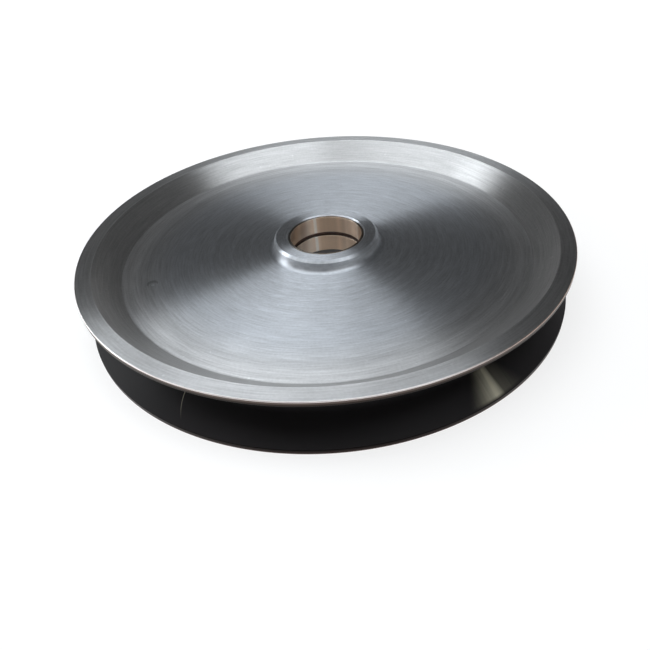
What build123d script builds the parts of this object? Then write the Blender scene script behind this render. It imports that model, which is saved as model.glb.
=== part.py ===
from build123d import *
from math import cos, radians, sin, tan
import os

os.makedirs("parts", exist_ok=True)

# Wire rope sheave, turned from one steel blank, with two bronze bushes pressed into its hub.
# The axis of rotation is Z and the origin lies on the bore's axis in the mid-plane.
# All sizes are in millimetres.

# Rim
outside_diameter = 500.0
rim_width = 60.0            # over the two flat rim faces
rim_face_width = 15.0       # flat ring on each side of the rim, between its two corners
rim_corner_radius = 1.0     # outer corner of each rim face
rim_crest_radius = 1.2      # corner between the rim face and the dished side

# Rope groove
rope_diameter = 18.0
groove_root_ratio = 0.53    # radius of the groove's root over the rope's diameter
groove_angle = 75.0         # included angle between the two flanks
lip_width = 5.0             # straight edge of each flange outside the groove
lip_radius = 0.8            # corner between that edge and the flank

# Web and dished sides
web_thickness = 19.0
dish_wall_width = 23.0      # sloping wall from the rim face in to the web's flat floor
web_rim_fillet = 4.0

# Hub
hub_length = 44.0
hub_diameter = 110.0
hub_chamfer = 2.5
hub_web_fillet = 6.0
mouth_chamfer = 1.5

# Bushes
shaft_diameter = 75.0
bush_wall = 2.5
bush_recess = 1.0           # from the hub's face down to the bush's end
grease_gap = 4.0            # ring left open between the two bushes
bush_chamfer = 0.5

# Places that follow from the sizes above
outer_radius = outside_diameter / 2
half_rim = rim_width / 2
half_web = web_thickness / 2
half_hub = hub_length / 2
rim_face_end_r = outer_radius - rim_face_width
web_end_r = rim_face_end_r - dish_wall_width
half_angle = radians(groove_angle / 2)
root_radius = groove_root_ratio * rope_diameter
half_mouth = half_rim - lip_width
flank_foot_z = root_radius * cos(half_angle)
flank_foot_r = outer_radius - (half_mouth - flank_foot_z) / tan(half_angle)
root_bottom_r = flank_foot_r - root_radius * (1 - sin(half_angle))
seat_radius = shaft_diameter / 2 + bush_wall
bush_length = half_hub - bush_recess - grease_gap / 2


def corner(sketch, radius, height):
    """The section's corner nearest to a radius and a height."""
    return sketch.vertices().sort_by_distance(Vector(radius, height))[0]


# The sheave's body: one half-section from the bore out to the groove's root, mirrored and revolved
with BuildPart() as sheave_body:
    with BuildSketch(Plane.XZ) as section:
        with BuildLine():
            side = Polyline(
                (seat_radius, 0),
                (seat_radius, half_hub),
                (hub_diameter / 2, half_hub),
                (hub_diameter / 2, half_web),
                (web_end_r, half_web),
                (rim_face_end_r, half_rim),
                (outer_radius, half_rim),
                (outer_radius, half_mouth),
                (flank_foot_r, flank_foot_z),
            )
            TangentArc((flank_foot_r, flank_foot_z), (root_bottom_r, 0), tangent=side % 1)
            Line((root_bottom_r, 0), (seat_radius, 0))
        make_face()
        chamfer(corner(section, seat_radius, half_hub), length=mouth_chamfer)
        chamfer(corner(section, hub_diameter / 2, half_hub), length=hub_chamfer)
        fillet(corner(section, hub_diameter / 2, half_web), radius=hub_web_fillet)
        fillet(corner(section, web_end_r, half_web), radius=web_rim_fillet)
        fillet(corner(section, rim_face_end_r, half_rim), radius=rim_crest_radius)
        fillet(corner(section, outer_radius, half_rim), radius=rim_corner_radius)
        fillet(corner(section, outer_radius, half_mouth), radius=lip_radius)
        mirror(about=Plane.XZ)
    revolve(axis=Axis.Z)
sheave_body.part.label = "sheave_body"
export_step(sheave_body.part, "parts/sheave_body.step")

# Two bronze bushes, one pressed in from each side, with a ring between them that holds grease
for bush_name, low_end in (
    ("upper_bush", grease_gap / 2),
    ("lower_bush", -grease_gap / 2 - bush_length),
):
    with BuildPart() as bush:
        with BuildSketch(Plane.XY.offset(low_end)):
            Circle(seat_radius)
            Circle(shaft_diameter / 2, mode=Mode.SUBTRACT)
        extrude(amount=bush_length)
        chamfer(bush.edges().filter_by(GeomType.CIRCLE), length=bush_chamfer)
    bush.part.label = bush_name
    export_step(bush.part, f"parts/{bush_name}.step")
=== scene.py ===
"""Wire rope sheave: the visual model, its finishes and a plain studio."""

import logging
import math
from dataclasses import dataclass
from enum import Enum

import bmesh
import bpy
from mathutils import Matrix, Vector


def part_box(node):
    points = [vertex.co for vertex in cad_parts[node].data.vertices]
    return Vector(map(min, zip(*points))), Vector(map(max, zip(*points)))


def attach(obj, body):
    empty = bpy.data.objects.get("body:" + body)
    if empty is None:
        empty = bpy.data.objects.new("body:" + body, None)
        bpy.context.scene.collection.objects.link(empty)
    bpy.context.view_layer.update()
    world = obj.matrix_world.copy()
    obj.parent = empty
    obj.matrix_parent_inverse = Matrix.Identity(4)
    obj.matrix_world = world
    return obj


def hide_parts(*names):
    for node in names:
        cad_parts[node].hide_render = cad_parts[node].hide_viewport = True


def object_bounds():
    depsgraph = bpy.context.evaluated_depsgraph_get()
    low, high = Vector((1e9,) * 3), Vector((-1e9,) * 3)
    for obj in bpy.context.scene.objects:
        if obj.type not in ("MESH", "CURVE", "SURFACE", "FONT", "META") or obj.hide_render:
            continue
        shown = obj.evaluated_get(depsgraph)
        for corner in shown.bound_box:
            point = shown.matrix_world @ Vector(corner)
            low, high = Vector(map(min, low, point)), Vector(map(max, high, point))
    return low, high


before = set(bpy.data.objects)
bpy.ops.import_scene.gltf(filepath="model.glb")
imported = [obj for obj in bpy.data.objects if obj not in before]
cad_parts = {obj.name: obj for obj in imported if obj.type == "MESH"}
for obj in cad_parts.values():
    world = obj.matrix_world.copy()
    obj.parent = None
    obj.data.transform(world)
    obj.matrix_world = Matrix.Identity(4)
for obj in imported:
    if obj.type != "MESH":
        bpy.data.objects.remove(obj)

CAD_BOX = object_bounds()
BODY = "root"
TURNS = 360
FLOOR_TURNS = 96

log = logging.getLogger("sheave")


# ---------------------------------------------------------------- shader maths


class Signal:
    """A number that varies over a surface, written with ordinary Python operators."""

    def __init__(self, recipe: "Recipe", socket: bpy.types.NodeSocket) -> None:
        """Wraps one output socket.

        Args:
            recipe: the material that the socket belongs to.
            socket: the output that carries the number.
        """
        self.recipe = recipe
        self.socket = socket

    def _math(self, operation: str, *values: "Signal | float") -> "Signal":
        """Adds one Math node.

        Args:
            operation: the Math node's operation.
            values: its inputs, in order.

        Returns:
            The node's result.
        """
        inputs = {place: value for place, value in enumerate(values)}
        return self.recipe.signal("ShaderNodeMath", {"operation": operation}, inputs, 0)

    def __add__(self, other: "Signal | float") -> "Signal":
        """The sum."""
        return self._math("ADD", self, other)

    def __radd__(self, other: float) -> "Signal":
        """The sum, number first."""
        return self._math("ADD", other, self)

    def __sub__(self, other: "Signal | float") -> "Signal":
        """The difference."""
        return self._math("SUBTRACT", self, other)

    def __rsub__(self, other: float) -> "Signal":
        """The difference, number first."""
        return self._math("SUBTRACT", other, self)

    def __mul__(self, other: "Signal | float") -> "Signal":
        """The product."""
        return self._math("MULTIPLY", self, other)

    def __rmul__(self, other: float) -> "Signal":
        """The product, number first."""
        return self._math("MULTIPLY", other, self)

    def __truediv__(self, other: "Signal | float") -> "Signal":
        """The quotient."""
        return self._math("DIVIDE", self, other)

    def __rtruediv__(self, other: float) -> "Signal":
        """The quotient, number first."""
        return self._math("DIVIDE", other, self)

    def __pow__(self, other: "Signal | float") -> "Signal":
        """The power."""
        return self._math("POWER", self, other)

    def larger(self, other: "Signal | float") -> "Signal":
        """The larger of the two."""
        return self._math("MAXIMUM", self, other)

    def smaller(self, other: "Signal | float") -> "Signal":
        """The smaller of the two."""
        return self._math("MINIMUM", self, other)

    def size(self) -> "Signal":
        """The value without its sign."""
        return self._math("ABSOLUTE", self)

    def hypotenuse(self, other: "Signal") -> "Signal":
        """The distance from the axis, where these two are the offsets from it."""
        return (self * self + other * other) ** 0.5

    def angle(self, across: "Signal") -> "Signal":
        """The angle whose tangent is this over across, in radians."""
        return self._math("ARCTAN2", self, across)

    def step(self, low: float, high: float) -> "Signal":
        """A smooth rise from 0 at low to 1 at high, or a fall where low is the larger.

        Args:
            low: where the result is 0.
            high: where the result is 1.

        Returns:
            The smooth step.
        """
        settings = {"interpolation_type": "SMOOTHSTEP", "clamp": True}
        if low > high:
            values = {"Value": self, "From Min": high, "From Max": low, "To Min": 1.0, "To Max": 0.0}
        else:
            values = {"Value": self, "From Min": low, "From Max": high, "To Min": 0.0, "To Max": 1.0}
        return self.recipe.signal("ShaderNodeMapRange", settings, values, "Result")

    def band(self, centre: float, half_width: float) -> "Signal":
        """A soft ridge of height 1 at centre that is gone half_width away on either side."""
        return (self - centre).size().step(half_width, 0.0)


class Recipe:
    """The shader nodes of one procedural material, or of the room."""

    def __init__(self, owner: "bpy.types.Material | bpy.types.World") -> None:
        """Starts with no nodes.

        Args:
            owner: the material or world that the nodes belong to.
        """
        self.owner = owner
        self.owner.use_nodes = True
        self.tree = owner.node_tree
        self.tree.nodes.clear()

    @classmethod
    def material(cls, name: str) -> "Recipe":
        """Starts a new material."""
        return cls(bpy.data.materials.new(name))

    def node(self, kind: str, settings: dict, inputs: dict) -> bpy.types.Node:
        """Adds a node, sets it up, and then feeds its sockets.

        Args:
            kind: the node's type.
            settings: its own settings, made before its sockets are fed.
            inputs: a value, Signal or socket for each input, by name or place.

        Returns:
            The node.
        """
        made = self.tree.nodes.new(kind)
        for key, value in settings.items():
            if key == "stops":
                ramp = made.color_ramp
                while len(ramp.elements) < len(value):
                    ramp.elements.new(1.0)
                for stop, (place, colour) in zip(ramp.elements, value):
                    stop.position = place
                    stop.color = colour
            else:
                setattr(made, key, value)
        for key, value in inputs.items():
            socket = made.inputs[key]
            if isinstance(value, Signal):
                self.tree.links.new(value.socket, socket)
            elif isinstance(value, bpy.types.NodeSocket):
                self.tree.links.new(value, socket)
            else:
                socket.default_value = value
        return made

    def signal(self, kind: str, settings: dict, inputs: dict, output: "str | int") -> Signal:
        """Adds a node and returns one of its outputs as a Signal."""
        return Signal(self, self.node(kind, settings, inputs).outputs[output])

    def place(self, source: str = "Object") -> tuple[Signal, Signal, Signal]:
        """X, Y and Z of the surface point in the part's own frame, or of the way out into the room.

        Args:
            source: the Texture Coordinate output, which is Generated for the room.

        Returns:
            The three numbers, in metres for a surface.
        """
        where = self.node("ShaderNodeTexCoord", {}, {}).outputs[source]
        parts = self.node("ShaderNodeSeparateXYZ", {}, {"Vector": where}).outputs
        return Signal(self, parts[0]), Signal(self, parts[1]), Signal(self, parts[2])

    def point(self, x: "Signal | float", y: "Signal | float",
              z: "Signal | float") -> bpy.types.NodeSocket:
        """Three numbers joined into one vector."""
        return self.node("ShaderNodeCombineXYZ", {}, {"X": x, "Y": y, "Z": z}).outputs[0]

    def noise(self, where: bpy.types.NodeSocket, scale: float, detail: float) -> Signal:
        """Soft noise around 0.5.

        Args:
            where: the place to read it at.
            scale: how many cells there are in a metre.
            detail: how many finer layers it has.

        Returns:
            The noise.
        """
        values = {"Vector": where, "Scale": scale, "Detail": detail, "Roughness": 0.55}
        return self.signal("ShaderNodeTexNoise", {"noise_dimensions": "3D"}, values, "Fac")

    def tool_marks(self, along: Signal, across: tuple[Signal, Signal], pitch: float,
                   arcs: float) -> Signal:
        """Noise around 0.5 in short arcs, as a cutting tool leaves on a turned face.

        Args:
            along: the distance that runs across the marks, in metres.
            across: the cosine and sine of the place round the axis.
            pitch: how far apart the marks are, in metres.
            arcs: how many marks follow one another in a radian.

        Returns:
            The noise.
        """
        where = self.point(along / pitch, across[0] * arcs, across[1] * arcs)
        return self.noise(where, 1.0, 1.0)

    def cloud(self, spot: tuple[Signal, Signal, Signal], cells: tuple[float, float],
              detail: float = 2.0) -> Signal:
        """Soft patches around 0.5, which may be longer one way than the other.

        Args:
            spot: the place to read them at.
            cells: how many there are in one unit of its first two numbers, and of its third.
            detail: how many finer layers they have.

        Returns:
            The patches.
        """
        x, y, z = spot
        return self.noise(self.point(x * cells[0], y * cells[0], z * cells[1]), 1.0, detail)

    def ramp(self, value: Signal, stops: "list[tuple[float, tuple]]") -> bpy.types.NodeSocket:
        """A Color Ramp from 0 to 1, straight between its stops."""
        return self.node("ShaderNodeValToRGB", {"stops": stops}, {0: value}).outputs[0]

    def mix(self, share: "Signal | float", first: "tuple | bpy.types.NodeSocket",
            second: "tuple | bpy.types.NodeSocket", blend: str = "MIX") -> bpy.types.NodeSocket:
        """Mixes two colours.

        Args:
            share: how much of the second colour there is.
            first: the first colour.
            second: the second colour.
            blend: the Mix node's blending mode.

        Returns:
            The mixed colour.
        """
        settings = {"data_type": "RGBA", "blend_type": blend, "clamp_factor": True}
        return self.node("ShaderNodeMix", settings, {0: share, 6: first, 7: second}).outputs[2]

    def shade(self, colour: "tuple | bpy.types.NodeSocket", tone: Signal) -> bpy.types.NodeSocket:
        """The colour made lighter or darker by the tone, where 1 leaves it as it is."""
        return self.mix(1.0, colour, self.point(tone, tone, tone), "MULTIPLY")

    def seen(self) -> Signal:
        """1 for what the camera, metal and glass see, and 0 for the light that falls on matt things.

        Returns:
            The share, which is 0 or 1.
        """
        path = self.node("ShaderNodeLightPath", {}, {}).outputs
        rays = Signal(self, path["Is Camera Ray"]) + Signal(self, path["Is Glossy Ray"])
        return (rays + Signal(self, path["Is Transmission Ray"])).smaller(1.0)

    def surface(self, values: dict) -> bpy.types.Material:
        """Finishes the material as one Principled shader.

        Args:
            values: what feeds the shader's sockets, by name.

        Returns:
            The material.
        """
        shader = self.node("ShaderNodeBsdfPrincipled", {}, values)
        return self.finish(shader.outputs[0])

    def finish(self, surface: bpy.types.NodeSocket) -> "bpy.types.Material | bpy.types.World":
        """Joins the surface, or the room's light, to the output.

        Args:
            surface: the finished shader.

        Returns:
            The material or world.
        """
        kind = "World" if isinstance(self.owner, bpy.types.World) else "Material"
        self.node("ShaderNodeOutput" + kind, {}, {"Surface": surface})
        return self.owner


def grey(level: float) -> tuple[float, float, float, float]:
    """A neutral colour of that level."""
    return (level, level, level, 1.0)


# ------------------------------------------------------------------- finishes


SHEEN_TURN = 0.25  # of a full turn, so that the sheen spreads across the tool marks
MID_PLANE_BLEND = 0.001  # how far from the middle a mark on one side only shows in full


@dataclass(frozen=True)
class Ring:
    """One tone ring: its radius and its tone, where 1 is the plain steel's. Most come from a change of
    cut, some are painted light.
    """

    radius: float
    tone: float


WEB_RINGS_AND_PAINTED_LIGHT = (
    # Round the hub's fillet the rings at 0.0560 and 0.0600 are painted shade, which takes down a lamp's
    # reflection there.
    Ring(0.0552, 1.00), Ring(0.0560, 0.82), Ring(0.0600, 0.84), Ring(0.0625, 1.00),
    Ring(0.0720, 1.00), Ring(0.0745, 1.08), Ring(0.0775, 0.95), Ring(0.0825, 1.06),
    Ring(0.0870, 0.95), Ring(0.0925, 1.00), Ring(0.0975, 0.96), Ring(0.1008, 1.05),
    Ring(0.1050, 0.96), Ring(0.1125, 1.00), Ring(0.1190, 0.96), Ring(0.1225, 1.04),
    Ring(0.1275, 1.00), Ring(0.1760, 1.00), Ring(0.1788, 1.04), Ring(0.1830, 1.00),
    # From 0.1975 to 0.2120, out to the foot of the dish wall, the lighter rings are partly a change of
    # cut and partly painted light.
    Ring(0.1870, 0.95), Ring(0.1905, 1.05), Ring(0.1945, 1.03), Ring(0.1975, 1.19),
    Ring(0.1992, 1.13), Ring(0.2010, 1.19), Ring(0.2050, 1.06), Ring(0.2088, 1.14),
    # At 0.2350 a painted highlight runs along the crest, with a darker ring just outside it at 0.2358.
    Ring(0.2120, 1.04), Ring(0.2341, 1.00), Ring(0.2350, 1.25), Ring(0.2358, 0.93),
)


@dataclass(frozen=True)
class PaintedDent:
    """A small crescent-shaped dent in the upper face, in colour only: painted shade along its rim and a
    painted highlight in it.

    Each pair of distances is where that part of it starts to show and where it shows in full.
    """

    centre: tuple[float, float] = (-0.1764, -0.0477)
    floor_centre: tuple[float, float] = (-0.1754, -0.0507)
    rim: tuple[float, float] = (0.0062, 0.0048)
    floor: tuple[float, float] = (0.0052, 0.0036)
    glint: tuple[float, float] = (0.0022, 0.0008)
    painted_contrast: float = 0.3

    def tone(self, x: Signal, y: Signal, z: Signal) -> Signal:
        """The dent's painted shade and painted highlight, as a change of tone from plain steel.

        Args:
            x: the place's X.
            y: the place's Y.
            z: the place's Z.

        Returns:
            The change of tone, below 0 in its dark part.
        """
        away = (x - self.centre[0]).hypotenuse(y - self.centre[1])
        inside = (x - self.floor_centre[0]).hypotenuse(y - self.floor_centre[1])
        upper = z.step(0.0, MID_PLANE_BLEND)
        dark = (away.step(*self.rim) - inside.step(*self.floor)).larger(0.0)
        return (inside.step(*self.glint) - dark) * upper * self.painted_contrast


@dataclass(frozen=True)
class TurnedSteel:
    """Bright steel turned on a lathe, with tool marks in short arcs, light flecks and the painted shade
    and highlight of one dent.

    The marks are of two sizes, and the broad ones are a multiple of the fine ones' pitch. The steel
    is a little bluer near the hub, out to a set radius, but not on the hub's boss, whose place above
    the middle is given with how far it reaches: this blue is a painted reflection of bluish light over
    the steel's own colour. Between two radii its face leans by a small angle. The rings' tones are
    divided by the headroom in their ramp, whose colours stop at 1. Most rings come from changes of
    cut, and some are painted shade and painted highlights.
    """

    name: str = "turned_steel"
    colour: tuple[float, float, float] = (0.550, 0.556, 0.566)
    # painted reflection of bluish light, laid into the steel near the hub
    reflected_blue: tuple[float, float, float] = (0.530, 0.556, 0.595)
    reflected_blue_to: float = 0.18
    reflected_blue_fade: float = 0.03
    boss: tuple[float, float] = (0.016, 0.007)
    roughness: float = 0.404
    anisotropy: float = 0.907
    marks: float = 0.50
    mark_pitch: float = 0.0015
    mark_arcs: float = 7.0
    mark_height: float = 0.00006
    broad_pitch: float = 5.0
    broad_arcs: float = 3.0
    broad_share: float = 0.35
    broad_height: float = 2.0
    grain: float = 0.22
    grain_scale: float = 420.0
    slope: float = 0.7
    reach: float = 0.25
    dished_from: float = 0.188
    dished_to: float = 0.208
    dished_by: float = math.radians(2.0)
    rings: tuple[Ring, ...] = WEB_RINGS_AND_PAINTED_LIGHT
    headroom: float = 2.0
    fleck_scale: float = 230.0
    fleck_from: float = 0.81
    fleck_to: float = 0.84
    fleck_light: float = 0.14
    # one dent, drawn as painted shade and a painted highlight
    painted_dent: PaintedDent = PaintedDent()

    def tone(self, recipe: Recipe, x: Signal, y: Signal, z: Signal) -> tuple[Signal, Signal]:
        """How light the steel is at each place.

        Args:
            recipe: the material.
            x: the place's X.
            y: the place's Y.
            z: the place's Z.

        Returns:
            The tone, and the height of its tool marks.
        """
        radius = x.hypotenuse(y)
        along = radius + z.size() * self.slope
        across = (x / radius, y / radius)
        fine = recipe.tool_marks(along, across, self.mark_pitch, self.mark_arcs)
        broad_pitch = self.mark_pitch * self.broad_pitch
        broad = recipe.tool_marks(along, across, broad_pitch, self.broad_arcs)
        grain = recipe.noise(recipe.point(x, y, z), self.grain_scale, 1.0)
        tone = (fine - 0.5) * self.marks + (broad - 0.5) * self.marks * self.broad_share
        tone = tone + (grain - 0.5) * self.grain + 1.0
        # The rings are tool-mark tones mixed with painted shade and painted highlights.
        if self.rings:
            stops = [(r.radius / self.reach, grey(r.tone / self.headroom)) for r in self.rings]
            rings = Signal(recipe, recipe.ramp(radius / self.reach, stops))
            tone = tone * (rings * self.headroom)
        leaning = (radius.smaller(self.dished_to) - self.dished_from).larger(0.0)
        height = (fine + broad * self.broad_height) * self.mark_height
        return tone, height + leaning * math.tan(self.dished_by)

    def flecks_and_painted_dent(self, recipe: Recipe, x: Signal, y: Signal, z: Signal) -> Signal:
        """Small light flecks, and the painted shade and highlight of one shallow dent.

        Args:
            recipe: the material.
            x: the place's X.
            y: the place's Y.
            z: the place's Z.

        Returns:
            The factor on the steel's tone.
        """
        flecks = recipe.noise(recipe.point(x, y, z), self.fleck_scale, 0.0)
        flecks = flecks.step(self.fleck_from, self.fleck_to) * self.fleck_light
        return 1.0 + flecks + self.painted_dent.tone(x, y, z)

    def make(self) -> bpy.types.Material:
        """Builds the material.

        Returns:
            The material.
        """
        recipe = Recipe.material(self.name)
        x, y, z = recipe.place()
        tone, height = self.tone(recipe, x, y, z)
        tone = tone * self.flecks_and_painted_dent(recipe, x, y, z)
        # painted reflection: bluish light laid into the steel near the hub, but not on the boss
        fade = x.hypotenuse(y).step(self.reflected_blue_to - self.reflected_blue_fade, self.reflected_blue_to + self.reflected_blue_fade)
        plain = fade.larger(z.size().band(*self.boss))
        steel = recipe.mix(plain, (*self.reflected_blue, 1.0), (*self.colour, 1.0))
        bump = recipe.node("ShaderNodeBump", {}, {"Height": height, "Distance": 1.0})
        return recipe.surface({
            "Base Color": recipe.shade(steel, tone),
            "Metallic": 1.0,
            "Roughness": self.roughness,
            "Anisotropic": self.anisotropy,
            "Anisotropic Rotation": SHEEN_TURN,
            "Normal": bump.outputs[0],
        })


@dataclass(frozen=True)
class ThinReflection:
    """A thin curved painted reflection down the groove's lower flank: its angle round the axis and its
    ends.
    """

    turn: float = -124.3
    foot: float = 0.2273
    bend: float = 5200.0
    half_width: float = 0.16
    core: float = 0.02
    fades_from: float = 0.230
    fades_to: float = 0.246
    painted_strength: float = 0.6

    def mark(self, radius: Signal, turn: Signal) -> Signal:
        """How strong the painted reflection is along the line.

        Args:
            radius: the place's distance from the axis.
            turn: its angle round the axis, in degrees.

        Returns:
            Its strength, from 0 to 1.
        """
        drift = (radius - self.foot) ** 2.0 * self.bend
        line = (turn - self.turn - drift).size().step(self.half_width, self.core)
        return line * radius.step(self.fades_to, self.fades_from) * self.painted_strength


@dataclass(frozen=True)
class FanHighlight:
    """A fan of thin streaks on the groove's lower flank: a painted highlight of a lamp.

    The fan opens outwards from its foot. Angles are in degrees as they are at the foot, and those
    in pairs are where a side starts to show and where it shows in full. The grain breaks the fan up
    in cells to a degree and to a metre outwards, and its strength runs between two factors.
    """

    turn: float = -58.4
    foot: float = 0.2273
    opening: float = 40.0
    near_side: tuple[float, float] = (-4.2, 0.0)
    near_power: float = 1.5
    sharp_side: tuple[float, float] = (1.3, 0.4)
    faint_side: tuple[float, float] = (4.5, 0.8)
    faintness: float = 0.2
    streak: tuple[float, float] = (-0.1, 0.6)
    streak_share: float = 0.35
    grain_cells: tuple[float, float] = (1.6, 12.0)
    grain: tuple[float, float] = (0.5, 1.3)
    inner_end: tuple[float, float] = (0.222, 0.229)
    outer_end: tuple[float, float] = (0.2502, 0.2470)
    painted_strength: float = 0.85

    def mark(self, recipe: Recipe, radius: Signal, turn: Signal) -> Signal:
        """How strong the painted highlight is in the fan.

        Args:
            recipe: the material.
            radius: the place's distance from the axis.
            turn: its angle round the axis, in degrees.

        Returns:
            Its strength, from 0 up.
        """
        where = recipe.point(turn * self.grain_cells[0], radius * self.grain_cells[1], 0.0)
        thinnest, thickest = self.grain
        grain = thinnest + (thickest - thinnest) * recipe.noise(where, 1.0, 2.0)
        aside = (turn - self.turn) / ((radius - self.foot) * self.opening + 1.0)
        rise = aside.step(*self.near_side) ** self.near_power
        fan = (rise * aside.step(*self.sharp_side)).larger(
            rise * aside.step(*self.faint_side) * self.faintness)
        patch = fan * grain + aside.band(*self.streak) * self.streak_share
        return patch * radius.step(*self.outer_end) * radius.step(*self.inner_end) * self.painted_strength


@dataclass(frozen=True)
class GrooveSteel:
    """The rope groove: near black, a painted dark reflection, with a painted fan highlight and a thin
    painted line of light.
    """

    name: str = "groove_steel"
    # near black: a painted dark reflection in place of the steel's own sheen
    painted_reflection: tuple[float, float, float] = (0.0195, 0.0175, 0.0185)
    # the light colour of the painted fan highlight and of the thin painted line
    highlight_colour: tuple[float, float, float] = (0.62, 0.58, 0.45)
    cells: tuple[float, float] = (9.0, 30.0)
    patchiness: float = 0.5
    gloss: float = 0.12
    roughness: float = 0.52
    anisotropy: float = 0.6
    # a thin painted reflection of a narrow light
    thin_reflection: ThinReflection = ThinReflection()
    # a painted highlight of a lamp, fanned along the flank
    tone_patch: FanHighlight = FanHighlight()

    def painted_highlights(self, recipe: Recipe, x: Signal, y: Signal, z: Signal) -> Signal:
        """Where the painted fan highlight and the thin painted line of light lie.

        Args:
            recipe: the material.
            x: the place's X.
            y: the place's Y.
            z: the place's Z.

        Returns:
            Their strength, from 0 to 1, which is only on the lower flank.
        """
        radius = x.hypotenuse(y)
        turn = y.angle(x) * math.degrees(1.0)
        marks = self.thin_reflection.mark(radius, turn) + self.tone_patch.mark(recipe, radius, turn)
        return marks.smaller(1.0) * z.step(0.0, -MID_PLANE_BLEND)

    def make(self) -> bpy.types.Material:
        """Builds the material.

        Returns:
            The material.
        """
        recipe = Recipe.material(self.name)
        x, y, z = recipe.place()
        cloud = recipe.cloud((x, y, z), self.cells)
        # the near-black painted reflection, a little patchy
        painted_reflection = recipe.shade((*self.painted_reflection, 1.0), 1.0 + (cloud - 0.5) * self.patchiness)
        return recipe.surface({
            # painted highlights laid into the near-black painted reflection
            "Base Color": recipe.mix(self.painted_highlights(recipe, x, y, z), painted_reflection, (*self.highlight_colour, 1.0)),
            "Metallic": 0.0,
            "Specular IOR Level": self.gloss,
            "Roughness": self.roughness,
            "Anisotropic": self.anisotropy,
            "Anisotropic Rotation": SHEEN_TURN,
        })


@dataclass(frozen=True)
class BrokenEdge:
    """The rounded outer corners: smoother steel, lighter in part as a painted highlight, with painted
    shade on one side.
    """

    name: str = "broken_edge"
    # lighter than the turned steel: partly smoother steel, partly a painted highlight along the corners
    colour: tuple[float, float, float] = (0.86, 0.80, 0.78)
    shaded_side: tuple[float, float, float] = (0.50, 0.38, 0.32)
    shaded_side_from: float = 0.06
    shaded_side_to: float = 0.17
    cells: tuple[float, float] = (25.0, 80.0)
    patchiness: float = 0.4
    roughness: float = 0.3
    dulled_by: float = 0.1

    def make(self) -> bpy.types.Material:
        """Builds the material.

        Returns:
            The material.
        """
        recipe = Recipe.material(self.name)
        x, y, z = recipe.place()
        wear = recipe.cloud((x, y, z), self.cells)
        # painted shade: a brown tint that grows towards +X
        side_shade = x.step(self.shaded_side_from, self.shaded_side_to)
        steel = recipe.mix(side_shade, (*self.colour, 1.0), (*self.shaded_side, 1.0))
        return recipe.surface({
            "Base Color": recipe.shade(steel, 1.0 + (wear - 0.5) * self.patchiness),
            "Metallic": 1.0,
            "Roughness": self.roughness + self.dulled_by * wear,
        })


@dataclass(frozen=True)
class LipSteel:
    """The narrow outer lips: dark brown, a painted reflection of a dark warm table, and darker on
    the lower lip, a painted shade near the floor.

    The painted shade is deepest where the lip turns into the groove, and fades out between two heights
    above the middle.
    """

    name: str = "lip_steel"
    # painted reflection of a dark warm table; the lower lip is darker with painted shade as well
    upper: tuple[float, float, float] = (0.125, 0.098, 0.086)
    lower: tuple[float, float, float] = (0.040, 0.027, 0.024)
    half_gap: float = 0.01
    deepest_shade: float = 0.25
    unshaded_from: float = 0.0262
    unshaded_to: float = 0.0280
    cells: tuple[float, float] = (20.0, 60.0)
    patchiness: float = 0.4
    roughness: float = 0.38
    dulled_by: float = 0.1

    def make(self) -> bpy.types.Material:
        """Builds the material.

        Returns:
            The material.
        """
        recipe = Recipe.material(self.name)
        x, y, z = recipe.place()
        cloud = recipe.cloud((x, y, z), self.cells)
        upper = z.step(-self.half_gap, self.half_gap)
        painted_reflection = recipe.mix(upper, (*self.lower, 1.0), (*self.upper, 1.0))
        # painted shade where the lip turns into the groove
        unshaded = z.size().step(self.unshaded_from, self.unshaded_to)
        tone = 1.0 + (cloud - 0.5) * self.patchiness
        tone = tone * (self.deepest_shade + (1.0 - self.deepest_shade) * unshaded)
        return recipe.surface({
            "Base Color": recipe.shade(painted_reflection, tone),
            "Metallic": 1.0,
            "Roughness": self.roughness + self.dulled_by * cloud,
        })


@dataclass(frozen=True)
class ShadedSeat:
    """The bush seats, drawn dark: painted shade in the gap between the bushes."""

    name: str = "shaded_seat"
    # painted shade for the gap between the bushes, with darker blotches
    colour: tuple[float, float, float] = (0.230, 0.165, 0.145)
    blotched: tuple[float, float, float] = (0.12, 0.09, 0.08)
    cells: tuple[float, float] = (60.0, 200.0)
    detail: float = 3.0
    roughness: float = 0.3
    dulled_by: float = 0.2

    def make(self) -> bpy.types.Material:
        """Builds the material.

        Returns:
            The material.
        """
        recipe = Recipe.material(self.name)
        blotch = recipe.cloud(recipe.place(), self.cells, self.detail)
        return recipe.surface({
            "Base Color": recipe.mix(blotch, (*self.colour, 1.0), (*self.blotched, 1.0)),
            "Metallic": 0.0,
            "Roughness": self.roughness + self.dulled_by * blotch,
        })


@dataclass(frozen=True)
class Streak:
    """One pale or dark streak along the bushes, partly a mark, partly painted reflection: its angle
    from +X and its tint.
    """

    turn: float
    tint: tuple[float, float, float]


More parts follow.
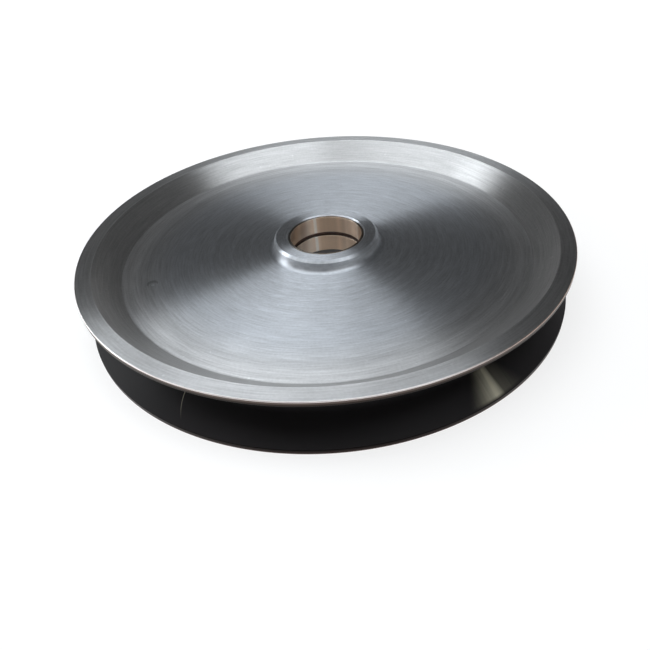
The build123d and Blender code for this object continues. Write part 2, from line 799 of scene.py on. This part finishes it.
BUSH_STREAKS_AND_REFLECTIONS = (
    # Tints round the bore: partly marks along the shaft, partly painted reflections.
    Streak(0.0, (0.90, 0.90, 0.90)), Streak(18.0, (0.95, 0.97, 1.00)),
    Streak(23.0, (1.25, 1.35, 1.48)), Streak(29.0, (0.95, 0.96, 0.98)),
    Streak(44.0, (1.05, 1.05, 1.05)), Streak(52.0, (1.18, 1.20, 1.24)),
    Streak(58.0, (1.00, 1.00, 1.00)), Streak(66.0, (1.15, 1.12, 1.10)),
    Streak(73.0, (1.00, 0.99, 0.97)), Streak(98.0, (1.00, 1.00, 0.98)),
    # From 103.5 to 110.5 degrees a pale blue band: a painted highlight of a lamp.
    Streak(103.5, (1.08, 1.14, 1.18)), Streak(105.0, (1.19, 1.48, 1.80)),
    Streak(108.5, (1.19, 1.48, 1.80)), Streak(110.5, (1.08, 1.18, 1.28)),
    Streak(122.0, (1.08, 1.22, 1.36)), Streak(127.0, (0.98, 1.06, 1.16)),
    Streak(133.0, (0.92, 1.02, 1.12)), Streak(139.0, (1.12, 1.28, 1.42)),
    Streak(144.0, (1.02, 1.18, 1.34)), Streak(180.0, (0.98, 1.18, 1.36)),
)


@dataclass(frozen=True)
class BushBronze:
    """Plain bearing bronze, reamed smooth, with faint marks round the bore and streaks along the shaft,
    which are partly painted reflections.

    Its ends are darkened: painted shade at the bore's mouth and in the gap between the bushes. The
    streaks' tints are divided by the headroom in their ramp, whose colours stop at 1, and multiplied
    by it after.
    """

    name: str = "bush_bronze"
    colour: tuple[float, float, float] = (0.84, 0.66, 0.52)
    roughness: float = 0.40
    anisotropy: float = 0.85
    bore_radius: float = 0.0375
    end_edge: float = 0.00015
    painted_end_shade: float = 0.8
    mark_pitch: float = 0.0009
    mark_arcs: float = 5.0
    mark_depth: float = 0.1
    rub_cells: tuple[float, float] = (9.0, 12.0)
    rub_depth: float = 0.14
    streaks: tuple[Streak, ...] = BUSH_STREAKS_AND_REFLECTIONS
    headroom: float = 2.5

    def make(self) -> bpy.types.Material:
        """Builds the material.

        Returns:
            The material.
        """
        recipe = Recipe.material(self.name)
        x, y, z = recipe.place()
        radius = x.hypotenuse(y)
        across = (x / radius, y / radius)
        marks = recipe.tool_marks(z, across, self.mark_pitch, self.mark_arcs)
        tone_patch = recipe.cloud((*across, z), self.rub_cells)
        # painted shade on the bush ends
        end = (radius - self.bore_radius).step(0.0, self.end_edge)
        tone = 1.0 + (marks - 0.5) * self.mark_depth + (tone_patch - 0.5) * self.rub_depth
        tone = tone * (1.0 - self.painted_end_shade * end) * self.headroom
        stops = [(streak.turn / 180.0, (*(part / self.headroom for part in streak.tint), 1.0))
                 for streak in self.streaks]
        # the streaks, partly painted reflections, with one painted lamp highlight
        streaks = recipe.ramp(y.angle(x).size() / math.pi, stops)
        colour = recipe.mix(1.0, (*self.colour, 1.0), streaks, "MULTIPLY")
        return recipe.surface({
            "Base Color": recipe.shade(colour, tone),
            "Metallic": 1.0,
            "Roughness": self.roughness,
            "Anisotropic": self.anisotropy,
            "Anisotropic Rotation": SHEEN_TURN,
        })


# -------------------------------------------------------------------- turning


@dataclass(frozen=True)
class Corner:
    """One corner of a turned section.

    A round corner has a radius, a chamfered one has a leg, and a sharp one has neither.
    """

    radius: float
    height: float
    round: float = 0.0
    leg: float = 0.0
    steps: int = 8

    def way_to(self, other: "Corner") -> Vector:
        """The direction to another corner."""
        start, end = Vector((self.radius, 0.0, self.height)), Vector((other.radius, 0.0, other.height))
        return (end - start).normalized()


def place_corners(sheet: bmesh.types.BMesh, corners: list[Corner]) -> None:
    """Draws a closed section in the XZ plane and rounds or chamfers its corners.

    Args:
        sheet: the empty mesh that takes the section.
        corners: the section's corners, in order round it.
    """
    points = [sheet.verts.new((c.radius, 0.0, c.height)) for c in corners]
    for first, second in zip(points, points[1:] + points[:1]):
        sheet.edges.new((first, second))
    before = corners[-1:] + corners[:-1]
    after = corners[1:] + corners[:1]
    for point, corner, last, following in zip(points, corners, before, after):
        if not corner.round and not corner.leg:
            continue
        turn = math.pi - corner.way_to(last).angle(corner.way_to(following))
        offset = corner.leg or corner.round * math.tan(turn / 2)
        bevel_point(sheet, point, offset, 1 if corner.leg else corner.steps)


def bevel_point(sheet: bmesh.types.BMesh, point: bmesh.types.BMVert, offset: float, steps: int) -> None:
    """Rounds one point of a line, or chamfers it with a single step.

    Args:
        sheet: the mesh that the line is in.
        point: the point.
        offset: how far along each side the rounding starts.
        steps: how many edges it has.
    """
    bmesh.ops.bevel(sheet, geom=[point], offset=offset, offset_type="OFFSET", profile=0.5,
                    segments=steps, affect="VERTICES", material=-1, clamp_overlap=False)


def spin_section(sheet: bmesh.types.BMesh, turns: int, merge: float = 1e-7) -> None:
    """Turns the section once round the axis and closes the seam.

    Args:
        sheet: the mesh that holds the section.
        turns: how many steps there are in the turn.
        merge: how close two points are to be made one, in metres.
    """
    bmesh.ops.spin(sheet, geom=sheet.verts[:] + sheet.edges[:], cent=(0, 0, 0), axis=(0, 0, 1),
                   dvec=(0, 0, 0), angle=math.tau, steps=turns, use_merge=True, use_duplicate=False)
    bmesh.ops.remove_doubles(sheet, verts=sheet.verts, dist=merge)


def turned_mesh(name: str, corners: list[Corner]) -> bpy.types.Mesh:
    """Turns a closed section into a solid ring and shades it.

    Args:
        name: the mesh's name.
        corners: the section's corners, in order round it.

    Returns:
        The mesh, with its faces pointing outwards.
    """
    sheet = bmesh.new()
    place_corners(sheet, corners)
    spin_section(sheet, TURNS)
    bmesh.ops.recalc_face_normals(sheet, faces=sheet.faces)
    mesh = bpy.data.meshes.new(name)
    sheet.to_mesh(mesh)
    sheet.free()
    crisp_normals(mesh)
    return mesh


def crisp_normals(mesh: bpy.types.Mesh, limit: float = 25.0) -> None:
    """Shades the mesh smooth within each band and keeps the edges between bands crisp.

    Each face's corner takes the sum of the faces round that point that turn less than the limit
    from it, and a large face counts for more than the narrow strips beside it.

    Args:
        mesh: the turned mesh.
        limit: the sharpest turn that is still shaded smooth, in degrees.
    """
    around = [[] for _ in mesh.vertices]
    for face in mesh.polygons:
        face.use_smooth = True
        for index in face.vertices:
            around[index].append((face.normal.copy(), face.area))
    near = math.cos(math.radians(limit))
    normals = []
    for face in mesh.polygons:
        own = face.normal.copy()
        for index in face.vertices:
            total = Vector()
            for normal, area in around[index]:
                if normal.dot(own) > near:
                    total += normal * area
            normals.append(total.normalized())
    mesh.normals_split_custom_set(normals)


class Zone(Enum):
    """The finishes of the sheave's body, in the order of its mesh's materials."""

    TURNED = 0
    WALL = 1
    GROOVE = 2
    LIP = 3
    SEAT = 4
    EDGE = 5


@dataclass
class SheaveBody:
    """The sheave's turned steel body, from the hub's bore to the rope groove.

    The sizes whose names end in slack say how far from its corner a finish may change.
    """

    node: str = "sheave_body"
    slot: str = "turned_steel"
    half_rim: float = 0.030
    rim_face_width: float = 0.015
    corner_round: float = 0.001
    crest_round: float = 0.0012
    lip_width: float = 0.005
    lip_round: float = 0.0008
    flank_angle: float = math.radians(37.5)
    root_round: float = 0.00954
    half_web: float = 0.0095
    wall_width: float = 0.023
    wall_round: float = 0.004
    half_hub: float = 0.022
    hub_radius: float = 0.055
    hub_chamfer: float = 0.0025
    hub_round: float = 0.006
    seat_radius: float = 0.040
    mouth_chamfer: float = 0.0015
    clear: float = 0.00001
    seat_slack: float = 0.0002
    lip_slack: float = 0.0004
    flank_slack: float = 0.0012
    wall_slack: float = 0.0002
    web_slack: float = 0.0005
    edge_share: float = 0.6

    def __post_init__(self) -> None:
        """Reads the outer radius from the part."""
        low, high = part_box(self.node)
        self.reach = min(high.x, high.y, -low.x, -low.y) - self.clear

    def corners(self) -> list[Corner]:
        """The whole section, from the upper end of the bore out, down the groove and back in.

        Returns:
            Its corners, in order.
        """
        reach = self.reach
        crest = reach - self.rim_face_width
        web_end = crest - self.wall_width
        half_mouth = self.half_rim - self.lip_width
        valley = reach - half_mouth / math.tan(self.flank_angle)
        upper = [
            Corner(self.seat_radius, self.half_hub, leg=self.mouth_chamfer),
            Corner(self.hub_radius, self.half_hub, leg=self.hub_chamfer),
            Corner(self.hub_radius, self.half_web, round=self.hub_round, steps=10),
            Corner(web_end, self.half_web, round=self.wall_round),
            Corner(crest, self.half_rim, round=self.crest_round),
            Corner(reach, self.half_rim, round=self.corner_round),
            Corner(reach, half_mouth, round=self.lip_round),
        ]
        lower = [Corner(c.radius, -c.height, c.round, c.leg, c.steps) for c in reversed(upper)]
        return upper + [Corner(valley, 0.0, round=self.root_round, steps=16)] + lower

    def zone(self, radius: float, height: float) -> Zone:
        """The finish at one place of the section.

        Args:
            radius: the place's distance from the axis.
            height: its distance above or below the mid-plane.

        Returns:
            Its zone.
        """
        reach = self.reach
        crest = reach - self.rim_face_width
        web_end = crest - self.wall_width
        groove_floor = crest - self.rim_face_width
        lip = self.half_rim - self.corner_round
        flank = self.half_rim - self.lip_width - (reach - radius) * math.tan(self.flank_angle)
        if radius < self.seat_radius + self.seat_slack and height < self.half_hub - self.mouth_chamfer:
            return Zone.SEAT
        if groove_floor < radius < reach - self.lip_slack and height < flank + self.flank_slack:
            return Zone.GROOVE
        if radius > crest and height < lip:
            return Zone.LIP
        if radius > reach - self.corner_round * self.edge_share:
            return Zone.EDGE
        on_wall = web_end + self.wall_slack < radius < crest - self.wall_slack
        if on_wall and height > self.half_web + self.web_slack:
            return Zone.WALL
        return Zone.TURNED

    def build(self, finishes: dict[Zone, bpy.types.Material]) -> bpy.types.Object:
        """Turns the body and dresses it.

        Args:
            finishes: the material of each zone.

        Returns:
            The finished piece.
        """
        mesh = turned_mesh(self.node + "_turned", self.corners())
        for zone in Zone:
            mesh.materials.append(finishes[zone])
        for face in mesh.polygons:
            face.material_index = self.zone(face.center.xy.length, abs(face.center.z)).value
        return add_piece(mesh, self.node)


@dataclass
class Bush:
    """One bronze bush, turned as a plain ring with broken edges."""

    node: str
    slot: str = "bush_bronze"
    bore_radius: float = 0.0375
    edge: float = 0.0005

    def build(self, finish: bpy.types.Material) -> bpy.types.Object:
        """Turns the bush and dresses it.

        Args:
            finish: the bronze.

        Returns:
            The finished piece.
        """
        low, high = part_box(self.node)
        outer = min(high.x, high.y, -low.x, -low.y)
        inner = self.bore_radius
        places = ((inner, low.z), (inner, high.z), (outer, high.z), (outer, low.z))
        corners = [Corner(radius, height, leg=self.edge) for radius, height in places]
        mesh = turned_mesh(self.node + "_turned", corners)
        mesh.materials.append(finish)
        return add_piece(mesh, self.node)


def add_piece(mesh: bpy.types.Mesh, node: str) -> bpy.types.Object:
    """Puts a finished mesh on the part's body in place of its CAD node.

    Args:
        mesh: the mesh, already in place in the part's frame.
        node: the CAD node that it stands for.

    Returns:
        The piece.
    """
    piece = bpy.data.objects.new(mesh.name, mesh)
    bpy.context.scene.collection.objects.link(piece)
    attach(piece, BODY)
    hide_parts(node)
    log.info("%s: %d faces", piece.name, len(mesh.polygons))
    return piece


# --------------------------------------------------------------------- studio


@dataclass(frozen=True)
class SoftLamp:
    """A round soft lamp that faces the part.

    Its tilt is the angle from straight overhead, its bearing runs from +X towards +Y, and its
    spread is the angle that its radius covers, seen from the part, all in degrees. Its brightness
    is that of its face, where 1 is white, and away is how far off it hangs, in metres.
    """

    name: str
    tilt: float
    bearing: float
    spread: float
    brightness: float
    away: float = 3.0
    tint: tuple[float, float, float] = (0.96, 1.0, 1.03)

    def hang(self) -> None:
        """Makes the lamp and turns it to the part.

        A disc that glows evenly gives off its brightness times pi times its area.
        """
        radius = self.away * math.tan(math.radians(self.spread))
        data = bpy.data.lights.new(self.name, "AREA")
        data.shape = "DISK"
        data.size = 2 * radius
        data.energy = self.brightness * math.pi * (math.pi * radius ** 2)
        data.color = self.tint
        lamp = bpy.data.objects.new(self.name, data)
        tilt, bearing = math.radians(self.tilt), math.radians(self.bearing)
        level = math.sin(tilt)
        way = Vector((level * math.cos(bearing), level * math.sin(bearing), math.cos(tilt)))
        facing = way.to_track_quat("Z", "Y").to_matrix().to_4x4()
        lamp.matrix_world = Matrix.Translation(way * self.away) @ facing
        bpy.context.scene.collection.objects.link(lamp)


@dataclass
class Studio:
    """The plain floor with its curved-up edge, the grey room, the soft lamps and the camera.

    The floor glows evenly from glow_radii[1] out, a little less at glow_radii[0], and hardly at all
    under the part, up to the outer of the two shadow radii: a painted shadow under the part. The
    room's light is a plain level and a slope along X, Y and Z, and never falls below dimmest. The
    backdrop fades between the two heights in fade, where 0 is level and 1 is straight up.
    """

    lights: tuple[SoftLamp, ...] = (
        SoftLamp("overhead_left", tilt=21.4, bearing=158.3, spread=24.7, brightness=2.74),
        SoftLamp("overhead_right", tilt=18.1, bearing=335.3, spread=19.4, brightness=2.93, away=3.2),
        SoftLamp("side", tilt=62.5, bearing=163.9, spread=12.3, brightness=5.88, away=2.6),
    )
    floor_radius: float = 10.0
    wall_height: float = 0.7
    cove: float = 0.3
    cove_steps: int = 16
    paint: float = 0.8
    shadow_share: float = 0.33
    glow_near: float = 0.72
    glow_radii: tuple[float, float] = (0.5, 1.6)
    # painted shadow: how much the floor glows under the part, and out to where
    painted_shadow_glow: float = 0.03
    painted_shadow_radii: tuple[float, float] = (0.2, 0.24)
    room_level: float = 0.001
    room_slope: tuple[float, float, float] = (-0.043, -0.003, 0.202)
    dimmest: float = 0.04
    fade: tuple[float, float] = (0.16, 0.05)
    lens: float = 31.015
    film_width: float = 36.0
    shift_x: float = -0.0427
    shift_y: float = 0.0290
    stand: tuple[float, float, float] = (0.0, -0.5243, 0.3194)
    aim: tuple[float, float, float] = (0.0132, -0.1904, 0.0298)
    roll: float = math.radians(-3.8073)

    def camera(self) -> None:
        """Sets the camera on its stand."""
        data = bpy.data.cameras.new("camera")
        data.lens = self.lens
        data.sensor_width = self.film_width
        data.shift_x = self.shift_x
        data.shift_y = self.shift_y
        data.clip_start = 0.01
        camera = bpy.data.objects.new("camera", data)
        stand = Vector(self.stand)
        forward = (Vector(self.aim) - stand).normalized()
        right = forward.cross(Vector((0, 0, 1))).normalized()
        up = right.cross(forward)
        turn_x = math.cos(self.roll) * right + math.sin(self.roll) * up
        turn_y = -math.sin(self.roll) * right + math.cos(self.roll) * up
        facing = Matrix((turn_x, turn_y, -forward)).transposed().to_4x4()
        camera.matrix_world = Matrix.Translation(stand) @ facing
        bpy.context.scene.collection.objects.link(camera)
        bpy.context.scene.camera = camera

    def floor(self) -> None:
        """Turns the floor, with its edge curved up into a low backdrop."""
        low = CAD_BOX[0].z
        sheet = bmesh.new()
        centre = sheet.verts.new((0.0, 0.0, low))
        edge = sheet.verts.new((self.floor_radius, 0.0, low))
        top = sheet.verts.new((self.floor_radius, 0.0, low + self.wall_height))
        sheet.edges.new((centre, edge))
        sheet.edges.new((edge, top))
        bevel_point(sheet, edge, self.cove, self.cove_steps)
        spin_section(sheet, FLOOR_TURNS, merge=1e-6)
        mesh = bpy.data.meshes.new("studio_floor")
        sheet.to_mesh(mesh)
        sheet.free()
        for face in mesh.polygons:
            face.use_smooth = True
        mesh.materials.append(self.floor_finish())
        floor = bpy.data.objects.new("studio_floor", mesh)
        bpy.context.scene.collection.objects.link(floor)

    def floor_finish(self) -> bpy.types.Material:
        """White paint that the camera and shiny surfaces see at full white, with the part's shadow,
        and with a painted shadow under the part.

        Returns:
            The material.
        """
        recipe = Recipe.material("studio_floor")
        x, y, _ = recipe.place()
        radius = x.hypotenuse(y)
        glow = recipe.mix(radius.step(*self.glow_radii), grey(self.glow_near), grey(1.0))
        # painted shadow: the floor hardly glows under the part
        glow = recipe.mix(radius.step(*self.painted_shadow_radii), grey(self.painted_shadow_glow), glow)
        paint = recipe.node("ShaderNodeBsdfDiffuse", {}, {"Color": grey(self.paint)}).outputs[0]
        pale = recipe.node("ShaderNodeBsdfDiffuse", {}, {"Color": grey(self.shadow_share)}).outputs[0]
        white = recipe.node("ShaderNodeEmission", {}, {"Color": glow}).outputs[0]
        bright = recipe.node("ShaderNodeAddShader", {}, {0: pale, 1: white}).outputs[0]
        floor = recipe.node("ShaderNodeMixShader", {}, {0: recipe.seen(), 1: paint, 2: bright})
        return recipe.finish(floor.outputs[0])

    def room(self) -> None:
        """Lights the room softly: grey, and lighter overhead.

        Low down the white backdrop shows above its wall and fades into the grey room. The camera,
        metal and glass all see the same backdrop, and it adds no light of its own to matt things.
        """
        recipe = Recipe(bpy.data.worlds.new("room"))
        x, y, z = recipe.place("Generated")
        slope = self.room_slope
        dim = (self.room_level + x * slope[0] + y * slope[1] + z * slope[2]).larger(self.dimmest)
        level = dim + (1.0 - dim) * z.step(*self.fade) * recipe.seen()
        light = recipe.node("ShaderNodeBackground", {}, {"Color": recipe.point(level, level, level)})
        bpy.context.scene.world = recipe.finish(light.outputs[0])

    def lamps(self) -> None:
        """Hangs the soft lamps."""
        for lamp in self.lights:
            lamp.hang()


def main() -> None:
    """Builds every piece and the studio, in order."""
    logging.basicConfig(level=logging.INFO, format="%(message)s")
    bpy.context.scene.view_settings.view_transform = "Standard"
    # The dish wall is the web's steel, smoother and drawn darker: the darker colour is painted shade.
    shaded_wall = TurnedSteel(name="shaded_dish_wall", colour=(0.432, 0.433, 0.435), reflected_blue_to=0.1,
                       roughness=0.36, rings=(), slope=0.9)
    SheaveBody().build({
        Zone.TURNED: TurnedSteel().make(),
        Zone.WALL: shaded_wall.make(),
        Zone.GROOVE: GrooveSteel().make(),
        Zone.LIP: LipSteel().make(),
        Zone.SEAT: ShadedSeat().make(),
        Zone.EDGE: BrokenEdge().make(),
    })
    bronze = BushBronze().make()
    Bush("upper_bush").build(bronze)
    Bush("lower_bush").build(bronze)
    studio = Studio()
    studio.floor()
    studio.room()
    studio.lamps()
    studio.camera()
    log.info("size written")


if __name__ == "__main__":
    main()
